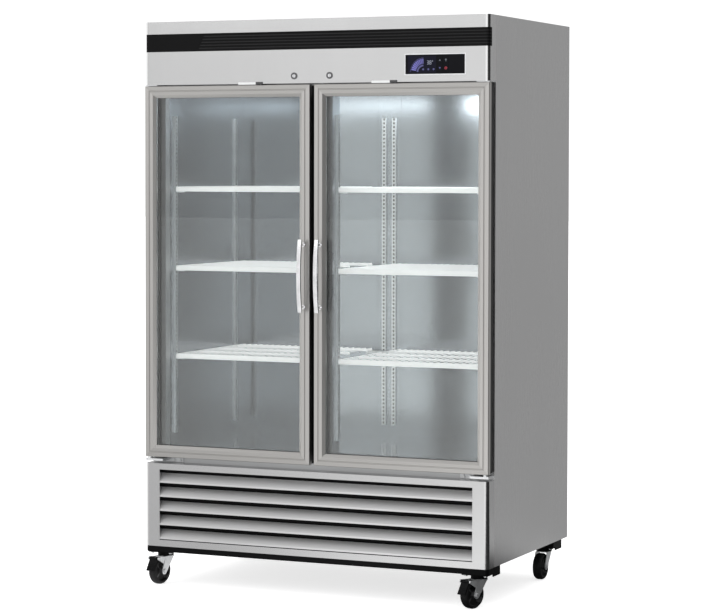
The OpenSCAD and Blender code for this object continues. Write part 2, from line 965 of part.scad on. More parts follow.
module evaporator_coil() {
  coil = [case_y + 250, case_y + 380];
  color(zinc)
    finned_block([-450, 450], coil, [evap_z + 20, ceiling_z - 15], 30);
  color(black)
    motor([0, evap_fan_y + 14, evap_fan_z], 32, 60);
}

module evaporator_cover() {
  wall = 1.5;
  color(stainless)
    difference() {
      span([-evap_x, evap_x], evap_y, [evap_z, ceiling_z]);
      span([wall - evap_x, evap_x - wall], [evap_y[0] + wall, evap_y[1] - wall],
           [evap_z + wall, ceiling_z + 1]);
      along_y([0, evap_y[0] - 1, evap_fan_z], evap_fan_r - 14, 5);
      span([-400, 400], [evap_y[1] - 5, evap_y[1] + 1], [evap_z + 30, ceiling_z - 30]);
    }
}

module evaporator_fan() {
  color(dark)
    translate([0, evap_fan_y, evap_fan_z]) fan_rotor(evap_fan_r - 8, 5);
}

// A bend in the Y-Z plane that leaves the origin along +Z and turns towards +Y
module bend_up_to_back(bend, r) {
  translate([0, bend, 0])
    rotate([0, -90, 0])
      rotate([0, 0, -90])
        rotate_extrude(angle = 90) translate([bend, 0]) circle(r, $fn = 24);
}

// Riser from the compressor dome, through the floor of the rear duct, to the evaporator
module riser(x, r, start_z) {
  bend = 34;
  low_z = sill_z - 22;
  high_z = evap_z + 90;
  from_y = compressor_at[1];
  coil_back = case_y + 380;
  translate([x, from_y, start_z]) cylinder(r = r, h = low_z - bend - start_z, $fn = 24);
  translate([x, from_y, low_z - bend]) bend_up_to_back(bend, r);
  along_y([x, from_y + bend, low_z], r, riser_y - from_y - 2 * bend, 24);
  translate([x, riser_y, low_z + bend])
    mirror([0, 0, 1]) mirror([0, 1, 0]) bend_up_to_back(bend, r);
  translate([x, riser_y, low_z + bend])
    cylinder(r = r, h = high_z - low_z - 2 * bend, $fn = 24);
  translate([x, riser_y, high_z - bend])
    mirror([0, 1, 0]) bend_up_to_back(bend, r);
  along_y([x, coil_back, high_z], r, riser_y - bend - coil_back, 24);
}

module refrigerant_tubes() {
  color(copper) {
    riser(riser_x[0], 6, pan_z + 237);
    riser(riser_x[1], 4, pan_z + 231);
  }
}

// ---------- shelving ----------

// Slotted channel standing along Z, its slotted web facing -Y
module standard() {
  length = standard_z[1] - standard_z[0];
  metal = 1.2;
  count = floor(length / slot_pitch);
  difference() {
    translate([-standard_w / 2, -standard_t, 0]) cube([standard_w, standard_t, length]);
    translate([metal - standard_w / 2, metal - standard_t, -1])
      cube([standard_w - 2 * metal, standard_t, length + 2]);
    for (i = [0:count - 1])
      translate([-3.5, -standard_t - 1, 6 + i * slot_pitch]) cube([7, 4, 8]);
  }
}

module shelf_standards() {
  color(stainless)
    both_sides() {
      for (y = side_standard_y)
        translate([room_x, y, standard_z[0]]) rotate([0, 0, -90]) standard();
      translate([post_x, side_standard_y[0], standard_z[0]]) rotate([0, 0, 90]) standard();
      translate([back_standard_x, duct_y, standard_z[0]]) standard();
    }
}

module shelf_clips() {
  width = 12;
  reach = 30;
  drop = 12;
  color(zinc)
    both_sides()
      for (level = shelf_levels) {
        top = floor_z + level - 2 * wire_r - 2 * rod_r - 0.2;
        z = [top - drop, top];
        for (y = side_standard_y)
          span([room_x - standard_t - reach, room_x - standard_t], [y - width / 2, y + width / 2], z);
        span([post_x + standard_t, post_x + standard_t + reach],
             [side_standard_y[0] - width / 2, side_standard_y[0] + width / 2], z);
        span([back_standard_x - width / 2, back_standard_x + width / 2],
             [duct_y - standard_t - reach, duct_y - standard_t], z);
        span([back_standard_x + width / 2, shelf_x[0] + 24],
             [duct_y - standard_t - reach, duct_y - standard_t - 8], z);
      }
}

// One wire shelf: deck wires from front to back on cross rods, with a flat front strip
module shelf(level) {
  deck_z = floor_z + level - wire_r;
  rod_z = floor_z + level - 2 * wire_r - rod_r - 0.05;
  strip = 18;
  inner = [shelf_x[0] + 4, shelf_x[1] - 4];
  count = floor((inner[1] - inner[0]) / wire_pitch);
  step = (inner[1] - inner[0]) / count;
  for (i = [0:count])
    along_y([inner[0] + i * step, shelf_y[0] + 2, deck_z], wire_r, shelf_y[1] - shelf_y[0] - 2, 16);
  for (y = rod_y)
    translate([shelf_x[0], shelf_y[0] + y, rod_z])
      rotate([0, 90, 0]) cylinder(r = rod_r, h = shelf_x[1] - shelf_x[0], $fn = 24);
  span(shelf_x, [shelf_y[0], shelf_y[0] + 1.8], [floor_z + level - strip, floor_z + level]);
}

module shelves_right() {
  color(white)
    for (level = shelf_levels)
      shelf(level);
}

module shelves_left() {
  mirror([1, 0, 0]) shelves_right();
}

module led_lamps() {
  color(white)
    both_sides()
      span([90, 600], [case_y + frame_t, case_y + frame_t + 14], [header_z + 6, header_z + 20]);
}

// ---------- doors ----------

module hinge_bolt_places() {
  for (x = [leg_x + 14, leg_x + 40])
    translate([x, case_y, hinge_z]) children();
}

module top_hinge_holes(r) {
  for (y = [26, 48])
    translate([half_w - 36, face_y + y, canopy_z - 10])
      cylinder(r = r, h = 20, $fn = 24);
}

module hinge_brackets() {
  leg_t = 4;
  bush_r = 9;
  lift = 0.3;
  color(zinc)
    both_sides() {
      difference() {
        union() {
          span([hinge_x, half_w - 0.5], [face_y + 3, case_y], [hinge_z, hinge_z + hinge_t]);
          span([leg_x, room_x - 1], [case_y - leg_t, case_y], [hinge_z - 7, hinge_z + hinge_t]);
          translate([pivot_x, pivot_y, hinge_z]) cylinder(r = pin_r, h = door_z - hinge_z + pin_in);
          translate([pivot_x, pivot_y, hinge_z]) cylinder(r = bush_r, h = door_z - hinge_z - lift);
        }
        hinge_bolt_places() along_y([0, -20, 0], 3.3, 30, 24);
      }
      difference() {
        span([half_w - 50, half_w - 0.5], [face_y + 3, case_y], [canopy_z - top_hinge_t, canopy_z]);
        top_hinge_holes(3.3);
      }
      translate([pivot_x, pivot_y, door_z + door_h - pin_in])
        cylinder(r = pin_r, h = pin_in + door_top_gap - top_hinge_t);
    }
}

// Aluminium rail: flat outer band, groove, inner band and a bevel down to the glass
module metal_profile() {
  groove = [17.5, 19.5];
  groove_depth = 1.5;
  bevel_from = rail_w - 11;
  polygon([[0, 1.5], [0, groove[0] - 1.5], [groove_depth, groove[0]], [groove_depth, groove[1]],
           [0, groove[1] + 1.5], [0, bevel_from], [glass_d - 3, rail_w], [glass_d, rail_w],
           [glass_d, glass_inset - 1], [metal_d, glass_inset - 1], [metal_d, 0], [1.5, 0]]);
}

module door_frame(side) {
  color(door_metal)
    in_door(side)
      difference() {
        mitred_ring(rail_w) metal_profile();
        for (z = [-1, door_h - pin_in - 1])
          translate([door_w - pivot_in, pivot_back, z])
            cylinder(r = pin_r + pin_fit, h = pin_in + 2);
      }
}

module door_inner_frame(side) {
  glass_back = glass_d + 2 * pane_t + pane_gap;
  step = 3;
  pocket_u = 15;
  color(black)
    in_door(side)
      difference() {
        mitred_ring(rail_w)
          polygon([[metal_d, step], [metal_d, glass_inset - 1], [glass_back, glass_inset - 1],
                   [glass_back, rail_w], [glass_back + 7, rail_w], [inner_back, rail_w - 8],
                   [inner_back, step]]);
        translate([lock_x - door_gap / 2 - 8, cam_y - face_y - 2, door_h - pocket_u])
          cube([cam_len, cam_t + 4, pocket_u + 1]);
      }
}

module door_glass(side) {
  w = door_w - 2 * glass_inset;
  h = door_h - 2 * glass_inset;
  spacer = [glass_d + pane_t + joint_gap, glass_d + pane_t + pane_gap - joint_gap];
  in_door(side) {
    color(glass)
      for (y = [glass_d, glass_d + pane_t + pane_gap])
        translate([glass_inset, y, glass_inset]) cube([w, pane_t, h]);
    color(zinc)
      mitred_ring(rail_w)
        polygon([[spacer[0], glass_inset + 2], [spacer[0], glass_inset + 9],
                 [spacer[1], glass_inset + 9], [spacer[1], glass_inset + 2]]);
  }
}

// Magnetic gasket: a flat base, a folded waist and the sealing face
module door_gasket(side) {
  d = inner_back;
  color(dark)
    in_door(side)
      mitred_ring(rail_w)
        polygon([[d, 9], [d, 31], [d + 2, 31], [d + 4.5, 27], [d + gasket_t, 28],
                 [d + gasket_t, 12], [d + 4.5, 13], [d + 2, 9]]);
}

// Bow handle on the free stile, with two round posts
module door_handle(side) {
  bar = [17, 9];
  bar_r = 3;
  x = 25;
  middle_z = (1040 + 1305) / 2 - door_z;
  bow_r = (handle_len * handle_len / 4 + handle_bow * handle_bow) / (2 * handle_bow);
  half_angle = asin(handle_len / 2 / bow_r);
  post_z = handle_len * 0.43;
  post_out = handle_out - bow_r + sqrt(bow_r * bow_r - post_z * post_z) - bar[1] / 2;
  color(zinc)
    in_door(side)
      translate([x, 0, middle_z]) {
        translate([0, bow_r - handle_out, 0])
          rotate([0, 90, 0])
            rotate([0, 0, -90 - half_angle])
              rotate_extrude(angle = 2 * half_angle, $fn = 96)
                translate([bow_r - bar[1] / 2, 0])
                  round_rect([bar[1], bar[0]], bar_r);
        for (z = [-post_z, post_z])
          {
            along_y([0, -post_out, z], 4.5, post_out, 32);
            along_y([0, -2, z], 8, 2, 32);
          }
      }
}

module door_frame_left() {
  door_frame(-1);
}

module door_frame_right() {
  door_frame(1);
}

module door_inner_frame_left() {
  door_inner_frame(-1);
}

module door_inner_frame_right() {
  door_inner_frame(1);
}

module door_glass_left() {
  door_glass(-1);
}

module door_glass_right() {
  door_glass(1);
}

module door_gasket_left() {
  door_gasket(-1);
}

module door_gasket_right() {
  door_gasket(1);
}

module door_handle_left() {
  door_handle(-1);
}

module door_handle_right() {
  door_handle(1);
}

// ---------- fasteners ----------

// Pan-head screw whose head lies on the -Y side of a sheet
module sheet_screw() {
  along_y([0, -2.2, 0], 4.6, 2.2, 32);
  along_y([0, 0, 0], 2.4, sheet, 24);
}

module fasteners() {
  head = 4.5;
  inside_z = rail_z + rail_wall;
  color(zinc) {
    caster_places()
      for (x = [-1, 1], y = [-1, 1])
        translate([x * plate_hole[0], y * plate_hole[1], 0]) {
          translate([0, 0, rail_z - plate_t]) cylinder(r = bolt_r, h = inside_z + 6 - rail_z + plate_t);
          translate([0, 0, rail_z - plate_t - head]) cylinder(r = 7, h = head, $fn = 6);
          translate([0, 0, inside_z]) {
            difference() {
              cylinder(r = 7, h = 5, $fn = 6);
              translate([0, 0, -1]) cylinder(r = bolt_r + 0.1, h = 7);
            }
          }
        }
    both_sides() {
      hinge_bolt_places() {
        along_y([0, -4, 0], 3, 20, 24);
        along_y([0, -8, 0], 6, 4, 6);
      }
    }
    back_screw_places() translate([0, sheet, 0]) mirror([0, 1, 0]) sheet_screw();
  }
}

side_panel_left();
side_panel_right();
top_panel();
back_panel();
base_frame();
insulation();
liner();
front_frame();
mullion();
canopy();
canopy_band();
display_unit();
key_up();
key_down();
key_light();
key_power();
lock_barrels();
lock_plug_left();
lock_plug_right();
door_switches();
switch_plunger_left();
switch_plunger_right();
grille_panel();
caster_plates();
caster_fork_fl();
caster_fork_fr();
caster_fork_rl();
caster_fork_rr();
caster_wheel_fl();
caster_wheel_fr();
caster_wheel_rl();
caster_wheel_rr();
caster_brake_fl();
caster_brake_fr();
compressor();
condenser_coil();
condenser_fan();
condensate_pan();
electrical_box();
evaporator_coil();
evaporator_cover();
evaporator_fan();
refrigerant_tubes();
shelf_standards();
shelf_clips();
shelves_left();
shelves_right();
led_lamps();
hinge_brackets();
door_frame_left();
door_inner_frame_left();
door_glass_left();
door_gasket_left();
door_handle_left();
door_frame_right();
door_inner_frame_right();
door_glass_right();
door_gasket_right();
door_handle_right();
fasteners();
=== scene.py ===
"""Looks of the two-door glass reach-in refrigerator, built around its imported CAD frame.

The front faces -Y. Blender's own values are metres; box_mm, the face tests and the outlines of the
printed marks are in millimetres.
"""
import math

import bmesh
import bpy
from mathutils import Matrix, Vector


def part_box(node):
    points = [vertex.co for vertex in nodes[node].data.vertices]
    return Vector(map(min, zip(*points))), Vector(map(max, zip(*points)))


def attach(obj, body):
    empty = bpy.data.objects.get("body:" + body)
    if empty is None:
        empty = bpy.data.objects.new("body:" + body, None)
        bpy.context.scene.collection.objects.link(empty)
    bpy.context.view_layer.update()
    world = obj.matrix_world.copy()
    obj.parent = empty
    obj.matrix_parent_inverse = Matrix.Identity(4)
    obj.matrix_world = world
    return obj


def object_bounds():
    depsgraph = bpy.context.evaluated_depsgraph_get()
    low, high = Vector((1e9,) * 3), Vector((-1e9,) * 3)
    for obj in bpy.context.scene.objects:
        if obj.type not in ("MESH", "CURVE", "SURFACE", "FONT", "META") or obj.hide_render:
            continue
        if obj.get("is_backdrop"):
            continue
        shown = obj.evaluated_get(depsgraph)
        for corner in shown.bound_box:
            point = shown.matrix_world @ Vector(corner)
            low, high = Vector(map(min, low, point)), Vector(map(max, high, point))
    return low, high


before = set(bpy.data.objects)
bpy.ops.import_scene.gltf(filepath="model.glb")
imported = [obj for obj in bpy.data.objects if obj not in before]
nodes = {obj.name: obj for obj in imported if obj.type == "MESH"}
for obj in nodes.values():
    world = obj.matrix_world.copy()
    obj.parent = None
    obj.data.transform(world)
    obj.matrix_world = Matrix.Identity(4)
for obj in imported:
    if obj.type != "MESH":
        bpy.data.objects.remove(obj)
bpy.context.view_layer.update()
MM = 0.001
MID = (0.3, 0.7)                    # where most of a noise's values lie
SIDES = ("left", "right")
FRONT_CASTERS = ("fl", "fr")
CASTERS = FRONT_CASTERS + ("rl", "rr")


# ---------- procedural materials ----------

def add_node(tree, kind, **settings):
    node = tree.nodes.new(kind)
    for key, value in settings.items():
        setattr(node, key, value)
    return node


class Build:
    """One material and short ways to add nodes to it."""

    def __init__(self, name, base, rough, metallic=0.0, **sockets):
        self.mat = bpy.data.materials.new(name)
        self.mat.use_nodes = True
        self.tree = self.mat.node_tree
        self.bsdf = self.tree.nodes["Principled BSDF"]
        self.bsdf.inputs["Base Color"].default_value = (*base, 1)
        self.bsdf.inputs["Roughness"].default_value = rough
        self.bsdf.inputs["Metallic"].default_value = metallic
        for key, value in sockets.items():
            self.bsdf.inputs[key.replace("_", " ")].default_value = value
        self.where = self.add("ShaderNodeTexCoord").outputs["Object"]

    def add(self, kind, **settings):
        return add_node(self.tree, kind, **settings)

    def link(self, a, b):
        self.tree.links.new(a, b)

    def mapped(self, scale):
        m = self.add("ShaderNodeMapping")
        m.inputs["Scale"].default_value = scale
        self.link(self.where, m.inputs["Vector"])
        return m.outputs["Vector"]

    def noise(self, scale, detail, rough=0.5):
        n = self.add("ShaderNodeTexNoise")
        n.inputs["Scale"].default_value = 1.0
        n.inputs["Detail"].default_value = detail
        n.inputs["Roughness"].default_value = rough
        self.link(self.mapped(scale), n.inputs["Vector"])
        return n.outputs["Fac"]

    def cells(self, scale):
        """Crystal-like cells; gives the node, whose Distance and Color are both of use."""
        v = self.add("ShaderNodeTexVoronoi")
        v.inputs["Scale"].default_value = 1.0
        self.link(self.mapped(scale), v.inputs["Vector"])
        return v

    def span(self, value, low, high, source=(0.0, 1.0)):
        """Maps the source's range to low and high, and no further."""
        m = self.add("ShaderNodeMapRange")
        m.inputs["From Min"].default_value, m.inputs["From Max"].default_value = source
        m.inputs["To Min"].default_value, m.inputs["To Max"].default_value = low, high
        self.link(value, m.inputs["Value"])
        return m.outputs["Result"]

    def join(self, a, b):
        m = self.add("ShaderNodeMath", operation="ADD")
        self.link(a, m.inputs[0])
        self.link(b, m.inputs[1])
        return m.outputs["Value"]

    def tint(self, value, dark, light):
        mix = self.add("ShaderNodeMix", data_type="RGBA")
        mix.inputs["A"].default_value = (*dark, 1)
        mix.inputs["B"].default_value = (*light, 1)
        self.link(value, mix.inputs["Factor"])
        return mix.outputs["Result"]

    def colour(self, socket):
        self.link(socket, self.bsdf.inputs["Base Color"])

    def roughness(self, socket):
        self.link(socket, self.bsdf.inputs["Roughness"])

    def bump(self, height, distance, strength):
        b = self.add("ShaderNodeBump")
        b.inputs["Distance"].default_value = distance
        b.inputs["Strength"].default_value = strength
        self.link(height, b.inputs["Height"])
        self.link(b.outputs["Normal"], self.bsdf.inputs["Normal"])


def shade(colour, k):
    """The colour, k times as bright."""
    return tuple(min(1.0, max(0.0, c * k)) for c in colour)


def brushed(name, base, rough, grain, contrast=0.1, broad=0.06, depth=0.000004, metal=1.0):
    """Sheet steel with a fine grain along one axis, faint long streaks and handling marks."""
    b = Build(name, base, rough, metal)
    fine = {"x": (9, 1900, 1900), "y": (1900, 9, 1900), "z": (1900, 1900, 9)}[grain]
    wide = {"x": (0.9, 22, 22), "y": (22, 0.9, 22), "z": (22, 22, 0.9)}[grain]
    hair = b.noise(fine, 4.0)
    streak = b.noise(wide, 3.0)
    smudge = b.noise((3.1, 3.1, 2.3), 5.0, rough=0.62)
    tone = b.join(b.join(b.span(hair, -contrast, contrast, MID), b.span(streak, -broad, broad, MID)),
                  b.span(smudge, 0.5 - broad / 2, 0.5 + broad / 2, MID))
    b.colour(b.tint(tone, shade(base, 0.62), shade(base, 1.38)))
    b.roughness(b.join(b.span(hair, rough - 0.02, rough + 0.03, MID),
                       b.span(smudge, -0.02, 0.03, MID)))
    b.bump(hair, depth, 0.6)
    return b.mat


def moulded(name, base, rough, grain=900, depth=0.00002, mottle=0.12, **sockets):
    """Plastic with a fine spark-eroded grain, slight colour drift and rubbed patches."""
    b = Build(name, base, rough, **sockets)
    fine = b.noise((grain,) * 3, 2.0)
    patch = b.noise((9, 9, 9), 5.0, rough=0.6)
    b.colour(b.tint(b.span(patch, 0, 1, MID), shade(base, 1 - mottle), shade(base, 1 + mottle)))
    b.roughness(b.join(b.span(patch, rough - 0.07, rough + 0.07, MID),
                       b.span(fine, -0.03, 0.03, MID)))
    b.bump(fine, depth, 0.7)
    return b.mat


def coated(name, base, rough, peel=260, specks=0.0, **sockets):
    """Baked or powder coating: orange peel, slight colour drift, and worn specks of the grey given."""
    b = Build(name, base, rough, **sockets)
    skin = b.noise((peel,) * 3, 2.0)
    drift = b.noise((4, 4, 4), 5.0, rough=0.6)
    colour = b.tint(b.span(drift, 0, 1, MID), shade(base, 0.93), shade(base, 1.07))
    if specks:
        spots = b.span(b.noise((420, 420, 420), 1.0), 0, 1, (0.70, 0.74))
        mix = b.add("ShaderNodeMix", data_type="RGBA")
        mix.inputs["B"].default_value = (specks, specks, specks, 1)
        b.link(spots, mix.inputs["Factor"])
        b.link(colour, mix.inputs["A"])
        colour = mix.outputs["Result"]
    b.colour(colour)
    b.roughness(b.join(b.span(drift, rough - 0.05, rough + 0.08, MID),
                       b.span(skin, -0.02, 0.02, MID)))
    b.bump(skin, 0.00004, 0.6)
    return b.mat


def zinc_plate(name, base, rough):
    """Bright zinc plating: cloudy crystals over pressed steel."""
    b = Build(name, base, rough, 0.65)
    crystal = b.cells((240, 240, 240))
    cloud = b.noise((38, 38, 38), 5.0, rough=0.65)
    tone = b.join(b.span(crystal.outputs["Distance"], 0.0, 0.35, (0.0, 0.9)),
                  b.span(cloud, 0.0, 0.65, (0.25, 0.75)))
    b.colour(b.tint(tone, shade(base, 0.8), shade(base, 1.12)))
    b.roughness(b.span(cloud, rough - 0.06, rough + 0.12, MID))
    b.bump(b.noise((600, 600, 600), 3.0), 0.00002, 0.6)
    return b.mat


def spangled(name, base, rough):
    """Hot-dip galvanised sheet with large frost-like crystals."""
    b = Build(name, base, rough, 1.0)
    crystal = b.cells((70, 70, 70))
    tone = b.add("ShaderNodeRGBToBW")
    b.link(crystal.outputs["Color"], tone.inputs["Color"])
    stain = b.noise((2.5, 2.5, 1.2), 5.0, rough=0.6)
    mixed = b.join(b.span(tone.outputs["Val"], 0.0, 0.6), b.span(stain, 0.0, 0.4, MID))
    b.colour(b.tint(mixed, shade(base, 0.82), shade(base, 1.14)))
    b.roughness(b.span(tone.outputs["Val"], rough - 0.08, rough + 0.1))
    b.bump(crystal.outputs["Distance"], 0.00003, 0.5)
    return b.mat


def polished(name, base, rough, tarnish=0.1):
    """Turned or cast metal with a buffed surface and thin wipe marks."""
    b = Build(name, base, rough, 1.0)
    wipe = b.noise((90, 90, 12), 4.0, rough=0.6)
    dull = b.noise((30, 30, 30), 4.0)
    b.colour(b.tint(b.span(dull, 0, 1, MID), shade(base, 1 - tarnish), shade(base, 1 + tarnish / 2)))
    b.roughness(b.join(b.span(wipe, rough - 0.03, rough + 0.06, MID),
                       b.span(dull, -0.02, 0.04, MID)))
    b.bump(wipe, 0.00001, 0.5)
    return b.mat


def rubber(name, base, rough):
    """Soft black rubber or vinyl with a patchy chalk bloom and fine pores."""
    b = Build(name, base, rough, Specular_IOR_Level=0.22)
    bloom = b.noise((14, 14, 14), 6.0, rough=0.65)
    pores = b.noise((1100,) * 3, 2.0)
    b.colour(b.tint(b.span(bloom, 0, 1, (0.35, 0.75)), shade(base, 0.8), shade(base, 1.5)))
    b.roughness(b.span(bloom, rough - 0.08, rough + 0.1, MID))
    b.bump(pores, 0.00003, 0.7)
    return b.mat


def glass(name, tint):
    """Clear glass with a faint uneven film."""
    b = Build(name, tint, 0.0, Transmission_Weight=1.0, IOR=1.42)
    film = b.noise((2.2, 2.2, 0.9), 5.0, rough=0.6)
    b.colour(b.tint(b.span(film, 0, 1, MID), shade(tint, 0.985), tint))
    return b.mat


def lit(name, colour, strength, fade=None):
    """A glowing or printed mark; fade is the two X positions between which it dims to a fifth."""
    b = Build(name, shade(colour, 0.5), 0.4)
    b.bsdf.inputs["Emission Color"].default_value = (*colour, 1)
    b.bsdf.inputs["Emission Strength"].default_value = strength
    if fade:
        axes = b.add("ShaderNodeSeparateXYZ")
        b.link(b.where, axes.inputs["Vector"])
        b.link(b.span(axes.outputs["X"], strength, strength / 5, fade), b.bsdf.inputs["Emission Strength"])
    drift = b.noise((700,) * 3, 1.0)
    b.colour(b.tint(drift, shade(colour, 0.45), shade(colour, 0.55)))
    return b.mat


M = {
    "front_steel": brushed("front_steel", (0.59, 0.59, 0.592), 0.17, "z", 0.02, 0.006),
    "grille_steel": brushed("grille_steel", (0.50, 0.50, 0.502), 0.20, "x", 0.02, 0.006),
    "blade_steel": brushed("blade_steel", (0.58, 0.58, 0.582), 0.42, "x", 0.03, 0.01, metal=0.8),
    "side_steel": brushed("side_steel", (0.57, 0.57, 0.572), 0.28, "z", 0.02, 0.008),
    "top_steel": brushed("top_steel", (0.46, 0.46, 0.465), 0.42, "x", 0.06, 0.08),
    "liner_steel": brushed("liner_steel", (0.285, 0.306, 0.327), 0.17, "z", 0.02, 0.015),
    "frame_steel": brushed("frame_steel", (0.45, 0.455, 0.46), 0.36, "x", 0.06, 0.06),
    "standard_steel": brushed("standard_steel", (0.60, 0.61, 0.62), 0.28, "z", 0.05, 0.03),
    "galvanised": spangled("galvanised", (0.50, 0.51, 0.52), 0.42),
    "door_metal": brushed("door_metal", (0.455, 0.445, 0.432), 0.30, "z", 0.03, 0.01),
    "door_metal_cross": brushed("door_metal_cross", (0.40, 0.391, 0.379), 0.30, "x", 0.03, 0.01),
    "black_coat": coated("black_coat", (0.0035, 0.0035, 0.0038), 0.5, specks=0.012, Specular_IOR_Level=0.06),
    "band_black": moulded("band_black", (0.006, 0.006, 0.0063), 0.5, Specular_IOR_Level=0.06),
    # The grooves' faces are a lighter black than the band: painted highlight lines along the ribs.
    "band_groove_painted_highlight": moulded("band_groove_painted_highlight", (0.015, 0.015, 0.016), 0.5, Specular_IOR_Level=0.2),
    "door_black": moulded("door_black", (0.012, 0.012, 0.013), 0.5, Specular_IOR_Level=0.25),
    "black_glass": moulded("black_glass", (0.005, 0.005, 0.007), 0.14, grain=200, depth=0.000004,
                          Specular_IOR_Level=0.08),
    "mullion_black": moulded("mullion_black", (0.008, 0.008, 0.009), 0.5, Specular_IOR_Level=0.2),
    "grey_plastic": moulded("grey_plastic", (0.05, 0.05, 0.052), 0.5),
    "white_plastic": moulded("white_plastic", (0.82, 0.83, 0.83), 0.42, mottle=0.03),
    "chrome": polished("chrome", (0.78, 0.785, 0.80), 0.16),
    "lock_ring": polished("lock_ring", (0.13, 0.13, 0.135), 0.22),
    "handle_metal": polished("handle_metal", (0.78, 0.78, 0.79), 0.14),
    "zinc": zinc_plate("zinc", (0.74, 0.75, 0.76), 0.38),
    "spacer": brushed("spacer", (0.66, 0.66, 0.65), 0.35, "z", 0.06, 0.04),
    "aluminium_fins": brushed("aluminium_fins", (0.66, 0.67, 0.68), 0.4, "z", 0.25, 0.1),
    "copper": polished("copper", (0.74, 0.38, 0.24), 0.28, 0.3),
    # The shelves' white coating glows a little: painted light that brightens the wires, which are no lamp.
    "white_wire": coated("white_wire", (0.90, 0.91, 0.91), 0.34, peel=500, Emission_Color=(1, 1, 1, 1),
                         Emission_Strength=0.42),
    "seal": rubber("seal", (0.024, 0.024, 0.025), 0.62),
    "tyre": rubber("tyre", (0.010, 0.010, 0.0105), 0.6),
    "foam": moulded("foam", (0.75, 0.62, 0.36), 0.9, grain=300, depth=0.0004),
    "pane": glass("pane", (0.975, 0.99, 0.985)),
    "lamp": lit("lamp", (0.93, 0.97, 1.0), 4.0),
}

DEFAULTS = {
    "side_panel_left": "side_steel", "side_panel_right": "side_steel", "top_panel": "top_steel",
    "back_panel": "galvanised", "base_frame": "black_coat", "insulation": "foam",
    "liner": "liner_steel", "front_frame": "frame_steel", "mullion": "liner_steel",
    "canopy": "front_steel", "canopy_band": "band_black", "display_unit": "chrome",
    "key_up": "black_glass", "key_down": "black_glass", "key_light": "black_glass",
    "key_power": "black_glass", "lock_barrels": "lock_ring", "lock_plug_left": "chrome",
    "lock_plug_right": "chrome", "door_switches": "grey_plastic",
    "switch_plunger_left": "white_plastic", "switch_plunger_right": "white_plastic",
    "grille_panel": "grille_steel", "caster_plates": "black_coat", "compressor": "black_coat",
    "condenser_coil": "aluminium_fins", "condenser_fan": "grey_plastic",
    "condensate_pan": "black_coat", "electrical_box": "grey_plastic",
    "evaporator_coil": "aluminium_fins", "evaporator_cover": "liner_steel",
    "evaporator_fan": "grey_plastic", "refrigerant_tubes": "copper",
    "shelf_standards": "standard_steel", "shelf_clips": "zinc", "shelves_left": "white_wire",
    "shelves_right": "white_wire", "led_lamps": "lamp", "hinge_brackets": "zinc",
    "fasteners": "zinc",
}
for side in SIDES:
    DEFAULTS.update({f"door_frame_{side}": "door_metal", f"door_inner_frame_{side}": "door_black",
                     f"door_glass_{side}": "pane", f"door_gasket_{side}": "seal",
                     f"door_handle_{side}": "handle_metal"})
for place in CASTERS:
    DEFAULTS.update({f"caster_fork_{place}": "zinc", f"caster_wheel_{place}": "tyre"})
for place in FRONT_CASTERS:
    DEFAULTS[f"caster_brake_{place}"] = "band_black"


def finish_node(name, *others):
    """Gives a CAD node its material; others are (material, test of a face's lowest and highest corner)."""
    mesh = nodes[name].data
    mesh.materials.clear()
    mesh.materials.append(M[DEFAULTS[name]])
    for key, _ in others:
        mesh.materials.append(M[key])
    points = [v.co / MM for v in mesh.vertices]
    for p in mesh.polygons:
        corners = [points[i] for i in p.vertices]
        lo = Vector(min(c[k] for c in corners) for k in range(3))
        hi = Vector(max(c[k] for c in corners) for k in range(3))
        p.material_index = next((i + 1 for i, (_, test) in enumerate(others) if test(lo, hi)), 0)


def box_mm(name):
    lo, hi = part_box(name)
    return lo / MM, hi / MM


LOCK_RING_R = 12.5                  # a lock barrel's flange
KEYWAY_HALF = 0.8                   # half a key slot's width
GROOVE_BEHIND, GROOVE_HEIGHT = 1.25, 4.2        # the floors of the band's grooves
GRILLE_BORDER = (30, 20)            # across and up, around the blades
BEZEL = 3.55                        # the width of the bright rim round the control panel
MULLION_FACE = 30.05                # how far back the mullion's black front reaches
SWITCH_X = (-249, 287)              # middles of the door switches
SWITCH_REACH = (-50.2, 22.05)       # their white part, from the middle
GLAND = 8                           # the black cord gland passes through the rear skin
SPACER = (4.05, 15.95)              # between the two panes, from the front one's face
STILES_Z = (530, 1822)              # between a door frame's lower and upper rail
HUB_R = 30                          # a wheel's grey middle


def inset(lo, hi, x, z):
    """Test for faces at least x and z inside a box, seen from the front."""
    return lambda a, b: a.x > lo.x + x and b.x < hi.x - x and a.z > lo.z + z and b.z < hi.z - z


def keyway(x):
    """Test for the faces of the narrow slot in a lock plug whose middle is at x."""
    return lambda a, b: a.x > x - KEYWAY_HALF and b.x < x + KEYWAY_HALF


face_y = box_mm("canopy")[0].y
case_y = box_mm("front_frame")[0].y
back_y = box_mm("back_panel")[1].y
band_y = box_mm("canopy_band")[0].y
display_lo, display_hi = box_mm("display_unit")
lock_x = box_mm("lock_barrels")[1].x - LOCK_RING_R
special = {
    # the band's groove faces take the lighter black of the painted highlight lines
    "canopy_band": [
        ("band_groove_painted_highlight", lambda a, b: a.y > band_y + GROOVE_BEHIND and b.z - a.z < GROOVE_HEIGHT)],
    "grille_panel": [("blade_steel", inset(*box_mm("grille_panel"), *GRILLE_BORDER))],
    # The key slots' faces are black: painted shade inside the slots.
    "lock_plug_left": [("band_black", keyway(-lock_x))],
    "lock_plug_right": [("band_black", keyway(lock_x))],
    "mullion": [("mullion_black", lambda a, b: b.y < case_y + MULLION_FACE)],
    "display_unit": [("black_glass", inset(display_lo, display_hi, BEZEL, BEZEL))],
    "door_switches": [("white_plastic", lambda a, b: any(
        x + SWITCH_REACH[0] < a.x and b.x < x + SWITCH_REACH[1] for x in SWITCH_X))],
    "electrical_box": [("door_black", lambda a, b: b.y > back_y - GLAND)],
}
